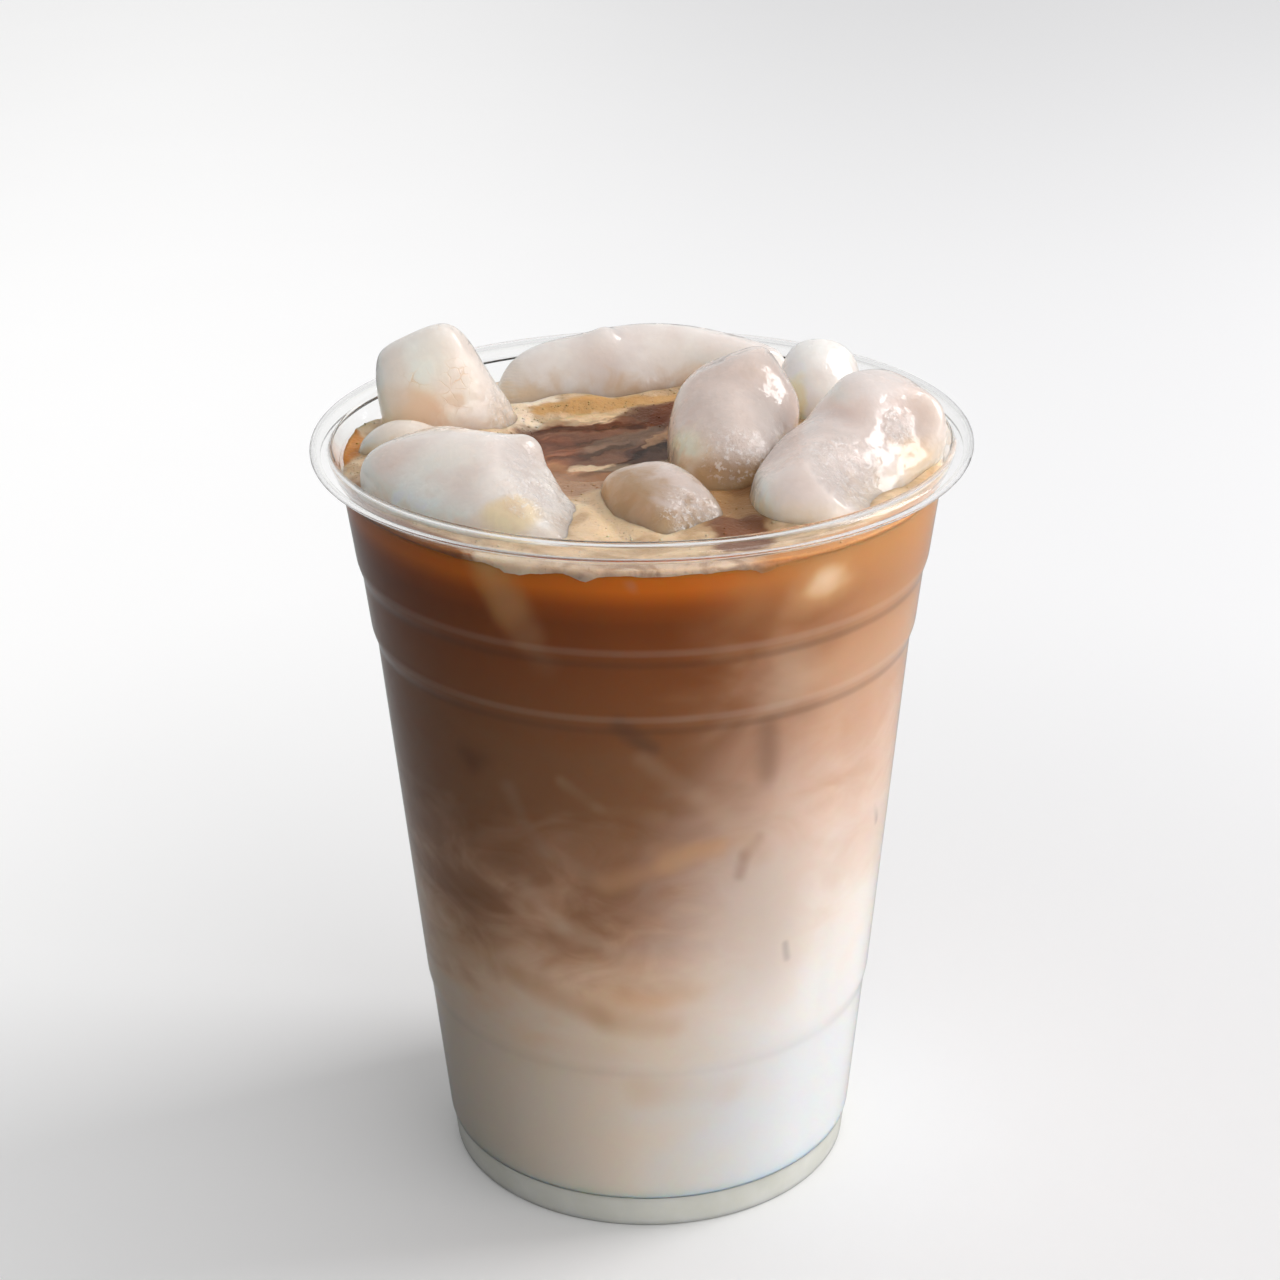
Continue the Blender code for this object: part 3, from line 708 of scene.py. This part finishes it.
def ice_material(name):
    """Half-melted ice, milky inside and wet outside, with coffee in its hollows."""
    body, foot = ICE_COLOURS[name]
    t = material_tree(name)
    x, y, z = t.parts(t.mm)
    cloud = t.noise(t.mm, 9.0, detail=3.0)
    lighter = tuple(min(1.0, c * 1.09) for c in body)
    darker = tuple(c * 0.93 for c in body)
    colour = t.mix(t.between(cloud, 0.35, 0.65), darker, lighter)
    ragged = t.noise(t.mm, 4.0, detail=4.0, distortion=0.8)
    for centre, reach, stretch, tint, share in rows_of(ICE_PATCHES, name):
        near = t.swing(ragged, 0.7, t.blob(t.mm, centre, reach, stretch, 0.9))
        colour = t.lay(colour, tint, t.between(near, 0.05, 0.65), share)
    # Coffee stains the foot of each lump.
    edge = t.math("MULTIPLY_ADD", ragged, 8.0, DRINK_LEVEL - 3.2)
    stain = t.between(t.math("SUBTRACT", z, edge), -0.5, 4.5, 1.0, 0.0)
    colour = t.lay(colour, foot, stain, 0.85)
    # Frosted, pitted areas
    pits = None
    for centre, reach, stretch in rows_of(FROST, name):
        near = t.blob(t.mm, centre, reach, stretch)
        pits = near if pits is None else t.math("MAXIMUM", pits, near)
    grain = t.noise(t.mm, 0.8, detail=3.0, roughness=0.65)
    wave = t.noise(t.mm, 3.5, detail=3.0)
    height = t.math("MULTIPLY", wave, 0.5)
    if pits is not None:
        rough = t.between(t.swing(ragged, 0.8, pits), 0.1, 0.55)
        height = t.math("MULTIPLY_ADD", t.math("MULTIPLY", grain, rough), 0.8, height)
        white = t.math("MULTIPLY", rough, t.between(grain, 0.53, 0.62))
        colour = t.lay(colour, (0.98, 0.96, 0.94), white, 0.5)
    if name == "ice_back_left":
        # Cracks like the edges of small cells, stained by coffee
        moved = t.warped(2.5, (2.2, 2.2, 2.2))
        cracks = t.between(t.cells(moved, 2.3, "DISTANCE_TO_EDGE"), 0.0, 0.07, 1.0, 0.0)
        upper = t.blob(t.mm, (-34.0, 9.7, 124.5), 3.2, (1, 1, 0.8), 0.9)
        lower = t.blob(t.mm, (-28.0, 10.4, 122.6), 4.4, (0.8, 1, 1.4), 0.9)
        cracks = t.math("MULTIPLY", cracks, t.math("MAXIMUM", upper, lower))
        cracks = t.math("MULTIPLY", cracks, t.between(ragged, 0.35, 0.6))
        colour = t.lay(colour, (0.76, 0.54, 0.32), cracks, 0.6)
        height = t.math("SUBTRACT", height, t.math("MULTIPLY", cracks, 0.2))
    # Water runs over the ice, so that what it mirrors is ragged.
    runs = t.math("MULTIPLY_ADD", t.noise(t.mm, 7.0), 0.7, t.math("MULTIPLY", height, 0.6))
    torn = t.noise(t.mm, 3.2, detail=5.0, roughness=0.65, distortion=0.5)
    # Painted shade and light: faces that look at the window are painted darker, and faces turned
    # from it lighter, which evens out their shading.
    lit = t.vector("DOT_PRODUCT", t.coord["Normal"], TOWARDS_WINDOW)
    painted_light_away, painted_shade_facing = t.between(lit, -0.4, 0.75, 1.22, 0.80), t.between(lit, 0.72, 1.0, 1.0, 0.76)
    colour = t.vector("MULTIPLY", colour, (1.02, 0.978, 0.98))
    colour = t.vector("SCALE", colour, scale=t.math("MULTIPLY", painted_light_away, painted_shade_facing))
    colour = t.vector("MINIMUM", colour, (0.985, 0.965, 0.95))
    shader = t.principled(
        Base_Color=colour,
        Roughness=0.3,
        IOR=1.31,
        Subsurface_Weight=1.0,
        Subsurface_Radius=(1.0, 0.92, 0.86),
        Subsurface_Scale=0.011,
        Transmission_Weight=0.03,
        Coat_Weight=t.between(torn, 0.44, 0.475, 0.12, 0.95),
        Coat_Roughness=0.02,
        Coat_IOR=1.38,
        Normal=t.bump(height, 0.6),
        Coat_Normal=t.bump(runs, 0.7),
    )
    return t.surface(shader)


def foam_material():
    """Wet froth of very small bubbles."""
    t = material_tree("foam")
    colour, streak, fine = surface_colour(t)
    bubbles = t.between(t.cells(t.mm, 0.8), 0.0, 0.42)
    some = t.between(t.noise(t.mm, 3.0), 0.5, 0.62)
    height = t.math("MULTIPLY_ADD", t.math("MULTIPLY", bubbles, some), 0.25, fine)
    shader = t.principled(
        Base_Color=colour,
        Roughness=0.32,
        IOR=1.33,
        Specular_IOR_Level=0.25,
        Subsurface_Weight=1.0,
        Subsurface_Radius=(1.0, 0.7, 0.45),
        Subsurface_Scale=0.0015,
        Normal=t.bump(height, 0.14),
    )
    return t.surface(shader)


# ---------------------------------------------------------------- cup


def cup_profile():
    """Floor's underside, foot, outer wall, rolled rim, inner wall and floor."""
    foot_inner = FOOT_RADIUS - FOOT_WIDTH
    points = [
        (0.0, FLOOR_TOP - WALL),
        (foot_inner - 1.0, FLOOR_TOP - WALL),
        (foot_inner - 0.45, FLOOR_TOP - WALL - 0.35),
        (foot_inner - 0.2, FLOOR_TOP - WALL - 1.0),
        (foot_inner, 0.35),
        (foot_inner + 0.2, 0.08),
        (foot_inner + 0.45, 0.0),
        (FOOT_RADIUS - 0.45, 0.0),
        (FOOT_RADIUS - 0.2, 0.08),
        (FOOT_RADIUS - 0.03, 0.3),
    ]
    heights = np.arange(1.0, NECK_TOP, 0.5)
    points += [(smooth_wall(z), z) for z in heights]
    # The rim rolls outwards and down. Its centre line is an ellipse.
    centre = (RIM_RADIUS - BEAD_HALF_WIDTH, CUP_HEIGHT - BEAD_HALF_HEIGHT)
    points += arc(centre, (BEAD_HALF_WIDTH - WALL, BEAD_HALF_HEIGHT - WALL), 180, -90, 28)
    points += arc(centre, (BEAD_HALF_WIDTH, BEAD_HALF_HEIGHT), -90, 180, 36)
    corner = FLOOR_TOP + FLOOR_CORNER
    points += [(smooth_wall(z) - WALL, z) for z in heights[::-1] if z > corner]
    low = smooth_wall(corner) - WALL - FLOOR_CORNER
    points += arc((low, corner), (FLOOR_CORNER, FLOOR_CORNER), 0, -90, 6)[1:]
    points.append((0.0, FLOOR_TOP))
    return points


def make_cup(material):
    cup = new_object("cup_shell", turned("cup_shell", cup_profile()))
    cup.data.materials.append(material)
    cup.data.materials.append(foot_plastic())
    heights = [vertex.co.z for vertex in cup.data.vertices]
    for face in cup.data.polygons:
        face.material_index = max(heights[v] for v in face.vertices) < FLOOR_TOP * MM + 1e-6
    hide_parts("cup")
    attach(cup, "root")


# ---------------------------------------------------------------- drink


def make_drink(material):
    """One solid up to the drink's level. Its side and floor lie inside the cup's own."""
    reach, corner = 0.35, 0.35
    floor = FLOOR_TOP - 0.15
    low = smooth_wall(FLOOR_TOP) - WALL + reach
    profile = [(0.0, floor)]
    profile += arc((low - corner, floor + corner), (corner, corner), -90, 0, 6)
    side = np.arange(7.5, DRINK_LEVEL - 0.2, 0.75)
    profile += [(smooth_wall(z) - WALL + reach, z) for z in side]
    edge = smooth_wall(DRINK_LEVEL) - WALL + reach
    profile.append((edge, DRINK_LEVEL))
    side_rings = len(profile)
    rings = np.concatenate([np.linspace(1, 0.02, 90)[1:], [0.0]])
    profile += [(edge * share, DRINK_LEVEL) for share in rings]
    mesh = turned("drink", profile)
    co = np.empty(len(mesh.vertices) * 3)
    mesh.vertices.foreach_get("co", co)
    co = co.reshape(-1, 3) / MM
    top = np.arange(len(co)) >= 1 + (side_rings - 1) * SEGMENTS
    face_top = np.array([all(top[v] for v in face.vertices) for face in mesh.polygons])
    calm = np.clip((edge - np.hypot(co[:, 0], co[:, 1])) / 3.0, 0, 1)
    ripple = fractal(co * (1, 1, 0), 7.0, 11, 3) * 0.22
    co[:, 2] += np.where(top, ripple * calm, 0)
    mesh.vertices.foreach_set("co", (co * MM).ravel())
    drink = new_object("drink", mesh)
    drink.data.materials.append(material)
    drink.data.materials.append(top_material())
    mesh.polygons.foreach_set("material_index", face_top.astype(int))
    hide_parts("coffee_layer", "blend_layer", "milk_layer")
    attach(drink, "root")


# ---------------------------------------------------------------- foam


def pool_reach(angle):
    plain = 1 / np.hypot(np.cos(angle) / POOL_HALF[0], np.sin(angle) / POOL_HALF[1])
    return plain * (1 + 0.08 * np.sin(3 * angle + 0.6) + 0.05 * np.sin(5 * angle))


def make_foam(material):
    """A sheet of froth from the edge of the pool out to the wall."""
    around, across = 360, 60
    base = DRINK_LEVEL - 0.6
    edge = smooth_wall(DRINK_LEVEL + 0.8) - WALL + 0.3
    angle = np.linspace(0, 2 * math.pi, around, endpoint=False)
    outwards = np.stack([np.cos(angle), np.sin(angle)], axis=1)
    circle = np.stack([*outwards.T * 12, angle * 0], axis=1)
    ragged = noise3(circle, 3.0, 5) + 0.5 * noise3(circle, 1.1, 6)
    inner = pool_reach(angle) + ragged * 0.8
    start = np.array(POOL_CENTRE) + outwards * inner[:, None]
    share = np.linspace(0, 1, across)[:, None, None]
    xy = (start * (1 - share) + outwards * edge * share).reshape(-1, 2)
    points = np.concatenate([xy, np.zeros((len(xy), 1))], axis=1)
    from_pool = np.linalg.norm(xy.reshape(across, around, 2) - start, axis=2).ravel()
    thick = 1.2 + 0.35 * fractal(points, 7.0, 21, 2) + 0.06 * noise3(points, 1.2, 31)
    rise = np.clip(from_pool / 6.0, 0, 1)
    top = base + 0.35 + thick * (rise * rise * (3 - 2 * rise))
    # It clings to the ice
    level = np.concatenate([xy, np.full((len(xy), 1), DRINK_LEVEL + 0.8)], axis=1)
    gap = np.min([lump_depth(level, name) for name in ICE], axis=0)
    cling = np.clip(1 - gap / 3.0, 0, 1) ** 2 * (0.6 + 0.35 * noise3(points, 9.0, 37))
    top += cling
    # At the wall it thins to an edge, but for a ragged strip at the front
    by_wall = np.clip((np.hypot(xy[:, 0], xy[:, 1]) - edge + 3.0) / 3.0, 0, 1) ** 2
    turn = np.arctan2(xy[:, 1], xy[:, 0])
    strip = np.clip((np.cos(turn - FRONT_STRIP) - 0.80) / 0.10, 0, 1)
    top += by_wall * (DRINK_LEVEL + 0.3 + 0.4 * strip - top)
    # and at the left, where it has climbed the wall
    climb = np.exp(-(((turn - LEFT_CLIMB) / math.radians(15)) ** 2)) * by_wall
    top += climb * (1.7 + 0.7 * noise3(points, 4.0, 35) + 0.2 * noise3(points, 1.2, 36))
    strip = strip * (1 - 0.7 * np.exp(-((xy[:, 0] - 2.0) / 6.0) ** 2))
    torn = 0.7 * noise3(points, 5.0, 33) + 0.5 * noise3(points, 1.5, 34)
    sunk = 0.1 + strip * np.clip(0.5 + torn, 0, 1.2)
    bottom = base - 0.4 + by_wall * (DRINK_LEVEL - sunk - base + 0.4)
    upper = np.concatenate([xy, top[:, None]], axis=1)
    lower = np.concatenate([xy, bottom[:, None]], axis=1)
    faces, under, last = [], len(xy), len(xy) - around
    for i in range(around):
        j = (i + 1) % around
        for row in range(0, last, around):
            a, b, c, d = row + i, row + j, row + around + j, row + around + i
            faces.append((b, a, d, c))
            faces.append((under + a, under + b, under + c, under + d))
        faces.append((i, j, under + j, under + i))
        faces.append((last + j, last + i, under + last + i, under + last + j))
    foam = new_object("froth", mesh_from("froth", np.concatenate([upper, lower]), faces))
    foam.data.materials.append(material)
    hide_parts("foam")
    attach(foam, "root")
    make_bubbles(xy, top, gap, material)


def make_bubbles(xy, top, gap, material):
    """Small bubbles on the froth, most of them by the ice and along the wall."""
    rng = np.random.default_rng(17)
    reach = np.hypot(xy[:, 0], xy[:, 1])
    wall = smooth_wall(DRINK_LEVEL) - WALL
    places = (
        ((gap > 0.2) & (gap < 2.2), 560),
        ((reach > wall - 2.6) & (reach < wall - 0.9) & (gap > 0.3), 160),
        ((gap > 2.2) & (reach < wall - 2.6), 180),
    )
    picks = [rng.choice(np.flatnonzero(where), many, replace=False) for where, many in places]
    sides = 8
    turns = np.linspace(0, 2 * math.pi, sides, endpoint=False)
    ring = np.stack([np.cos(turns), np.sin(turns), turns * 0], axis=1)
    points, faces = [], []
    for pick in np.concatenate(picks):
        radius = 0.1 + 0.22 * rng.random() ** 2.5
        middle = np.array([*xy[pick], top[pick] - radius * 0.35])
        first = len(points)
        for lift in (0.1, 0.7):
            points += list(middle + (ring * math.sqrt(1 - lift * lift) + (0, 0, lift)) * radius)
        points += [middle + (0, 0, radius), middle - (0, 0, radius)]
        upper, tip = first + sides, first + 2 * sides
        for k in range(sides):
            m = (k + 1) % sides
            faces.append((first + k, first + m, upper + m, upper + k))
            faces.append((upper + k, upper + m, tip))
            faces.append((first + m, first + k, tip + 1))
    bubbles = new_object("froth_bubbles", mesh_from("froth_bubbles", np.array(points), faces))
    bubbles.data.materials.append(material)
    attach(bubbles, "root")


# ---------------------------------------------------------------- ice


def cube_directions(cells):
    """Unit vectors through an even grid on a cube's faces, and the faces between them."""
    points, index, faces = [], {}, []

    def corner(key):
        if key not in index:
            index[key] = len(points)
            v = [math.tan(math.pi / 4 * (2 * k / cells - 1)) for k in key]
            length = math.sqrt(sum(c * c for c in v))
            points.append([c / length for c in v])
        return index[key]

    for axis in range(3):
        one, two = (axis + 1) % 3, (axis + 2) % 3
        for side in (0, cells):
            for i in range(cells):
                for j in range(cells):
                    quad = []
                    for di, dj in ((0, 0), (1, 0), (1, 1), (0, 1)):
                        key = [0, 0, 0]
                        key[axis], key[one], key[two] = side, i + di, j + dj
                        quad.append(corner(tuple(key)))
                    faces.append(quad if side else quad[::-1])
    return np.array(points), faces


def mass_depth(points, centre, half, turns, squareness):
    """About how far points are outside one rounded mass, and negative inside it."""
    axes = np.array(Euler([math.radians(a) for a in turns]).to_matrix())
    scaled = np.abs((points - np.array(centre)) @ axes) / np.array(half)
    size = (scaled**squareness).sum(axis=1) ** (1 / squareness)
    return (size - 1) * min(half)


def lump_depth(points, name):
    """The masses of a lump as one smooth shape."""
    masses = ICE[name]
    depths = np.stack([mass_depth(points, *mass) for mass in masses])
    return -MELT * np.log(np.exp(-depths / MELT).sum(axis=0)) + MELT * math.log(len(masses)) * 0.5


def nearness(points, centre, reach, stretch):
    """1 at the centre of an ellipsoid, falling to 0 at its edge."""
    offset = np.linalg.norm((points - np.array(centre)) / (reach * np.array(stretch)), axis=1)
    share = np.clip(1 - offset, 0, 1)
    return share * share * (3 - 2 * share)


def middle_of(name):
    return np.mean([mass[0] for mass in ICE[name]], axis=0)


def smooth_max(a, b, soft):
    return soft * np.logaddexp(a / soft, b / soft)


def rays_end(depth, name, rays, rounds):
    """How far rays from the lump's middle run before they leave it."""
    near, far = np.zeros(len(rays)), np.full(len(rays), RAY_LENGTH)
    for _ in range(rounds):
        half = (near + far) / 2
        inside = depth(middle_of(name) + rays * half[:, None], name) < 0
        near, far = np.where(inside, half, near), np.where(inside, far, half)
    return rays * near[:, None]


SUPPORTS = {}  # what support() has found, by lump and direction


def support(name, direction):
    """How far the lump reaches from its middle in a direction."""
    key = (name, tuple(direction))
    if key not in SUPPORTS:
        ends = rays_end(lump_depth, name, cube_directions(10)[0], 14)
        SUPPORTS[key] = float((ends @ direction).max())
    return SUPPORTS[key]


def worn_depth(points, name):
    """The lump with its flats cut and its knobs added."""
    depth = lump_depth(points, name)
    for place, direction, cut in rows_of(FLATS, name):
        offset = points - np.array(place)
        out = offset @ np.array(direction)
        aside = np.sqrt(np.maximum((offset**2).sum(axis=1) - out**2, 0))
        plane = out + cut - np.maximum(0, aside - FLAT_REACH) ** 2 / 30
        depth = smooth_max(depth, plane, 0.4)
    # Smaller flats all round, at random
    rng = np.random.default_rng(len(name) * 31 + ord(name[4]))
    for direction in rng.normal(size=(13, 3)):
        direction /= np.linalg.norm(direction)
        plane = (points - middle_of(name)) @ direction - support(name, direction) * WORN_SHARE
        depth = smooth_max(depth, plane, 0.5)
    for centre, radius, soft in rows_of(KNOBS, name):
        knob = np.linalg.norm(points - np.array(centre), axis=1) - radius
        depth = -smooth_max(-depth, -knob, soft)
    return depth


def stretched(name, directions):
    """Directions drawn towards the lump's long axis, so that its points lie evenly."""
    points = rays_end(worn_depth, name, cube_directions(8)[0], 34)
    values, axes = np.linalg.eigh(points.T @ points / len(points))
    drawn = directions @ (axes * np.sqrt(values)) @ axes.T
    return drawn / np.linalg.norm(drawn, axis=1)[:, None]


def make_ice():
    """Each lump keeps its solid's form, with the dents, pits and flats of melting ice."""
    directions, faces = cube_directions(72)
    for index, name in enumerate(ICE):
        rays = stretched(name, directions)
        co = middle_of(name) + rays_end(worn_depth, name, rays, 34)
        mesh = mesh_from(name + "_melting", co, faces)
        normal = np.empty(len(co) * 3)
        mesh.vertices.foreach_get("normal", normal)
        normal = normal.reshape(-1, 3)
        wear = fractal(co, 12.0, 40 + index * 7, 2) * 0.16
        pits = np.zeros(len(co))
        for row in rows_of(FROST, name):
            pits = np.maximum(pits, nearness(co, *row))
        wear += pits * (noise3(co, 1.6, 90 + index) * 0.22 + noise3(co, 0.8, 95 + index) * 0.1)
        co = co + normal * wear[:, None]
        mesh.vertices.foreach_set("co", (co * MM).ravel())
        mesh.update()
        lump = new_object(name + "_melting", mesh)
        mesh.materials.append(ice_material(name))
        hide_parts(name)
        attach(lump, "root")


# ---------------------------------------------------------------- surroundings


def make_floor():
    """A white table, flagged so that it throws less light up at the cup."""
    t = material_tree("floor")
    grain = t.noise(t.mm, 60.0)
    colour = t.mix(grain, (0.97, 0.97, 0.97), (0.99, 0.99, 0.99))
    x, y, z = t.parts(t.mm)
    # The table is painted darker towards the right, painted shade against the strong light from
    # that side.
    colour = t.mix(t.between(x, -240.0, 210.0), colour, (0.68, 0.68, 0.69))
    # Painted light: the table glows a little far from the cup, more at the back and at the right
    back, right = t.between(y, -50.0, 520.0, 0.06, 0.12), t.between(x, 0.0, 260.0, 0.0, 0.05)
    far = t.vector("LENGTH", t.plan(t.mm))
    painted_glow = t.math("MULTIPLY", t.math("ADD", back, right), t.between(far, 80.0, 260.0))
    seen = t.principled(
        Base_Color=colour,
        Roughness=0.6,
        Specular_IOR_Level=0.1,
        Emission_Color=(1.0, 1.0, 1.0),
        Emission_Strength=painted_glow,
    )
    dim = t.principled(Base_Color=(0.36, 0.36, 0.36), Roughness=0.8, Specular_IOR_Level=0.0)
    path = t.node("ShaderNodeLightPath").outputs
    direct = t.math("LESS_THAN", path["Diffuse Depth"], 0.5)
    outside = t.math("LESS_THAN", path["Transmission Depth"], 0.5)
    mirrored = t.math("MULTIPLY", path["Is Glossy Ray"], outside)
    direct = t.math("SUBTRACT", direct, mirrored, clamp=True)
    half = 4000.0
    corners = ((-half, -half, 0), (half, -half, 0), (half, half, 0), (-half, half, 0))
    mesh = mesh_from("floor", corners, [(0, 1, 2, 3)])
    floor = new_object("floor", mesh, smooth=False)
    mesh.materials.append(t.surface(t.either(direct, dim, seen)))


def area_light(name, position, aim, size, power, colour):
    data = bpy.data.lights.new(name, "AREA")
    data.shape = "RECTANGLE"
    data.size, data.size_y = size
    data.energy = power
    data.color = colour
    obj = bpy.data.objects.new(name, data)
    scene.collection.objects.link(obj)
    obj.location = position
    obj.rotation_euler = (Vector(aim) - Vector(position)).to_track_quat("-Z", "Y").to_euler()


def make_lights():
    """A room that is brightest above and to the right, its window and a fill light."""
    scene.world = bpy.data.worlds.new("world")
    t = Tree(scene.world, "ShaderNodeOutputWorld")
    towards = t.vector("DOT_PRODUCT", t.coord["Generated"], (0.45, 0.25, 0.86))
    room = t.between(towards, -0.35, 0.9, 0.10, 0.85)
    # What is seen through the plastic is a pale room on every side.
    depth = t.node("ShaderNodeLightPath").outputs["Diffuse Depth"]
    room = t.mix(t.math("LESS_THAN", depth, 0.5), room, (0.82, 0.82, 0.82))
    t.surface(t.node("ShaderNodeBackground", Color=room, Strength=1.0))
    area_light("window", (0.72, 0.2, 0.67), (0, 0, 0.08), (0.42, 0.42), 4.9, (1.0, 0.99, 0.985))
    area_light("fill", (0.80, -0.72, 0.26), (0, 0, 0.06), (1.2, 0.42), 5.6, (1.0, 0.995, 0.99))


def make_camera():
    """The photograph's camera, as fitted to the cup."""
    forward = Vector((-0.00144, 0.91681, -0.39932)).normalized()
    roll = -0.0125
    right = forward.cross(Vector((0, 0, 1))).normalized()
    up = right.cross(forward)
    across = right * math.cos(roll) + up * math.sin(roll)
    upward = up * math.cos(roll) - right * math.sin(roll)
    data = bpy.data.cameras.new("camera")
    data.lens, data.sensor_width = 76.85, 36.0  # millimetres
    data.clip_start = 0.01
    camera = bpy.data.objects.new("camera", data)
    scene.collection.objects.link(camera)
    turn = Matrix((across, upward, -forward)).transposed()
    camera.matrix_world = Matrix.Translation((0.0, -0.38384, 0.25247)) @ turn.to_4x4()
    scene.camera = camera


make_cup(clear_plastic())
make_drink(drink_material())
make_foam(foam_material())
make_ice()
make_floor()
make_lights()
make_camera()
scene.view_settings.view_transform = "Standard"
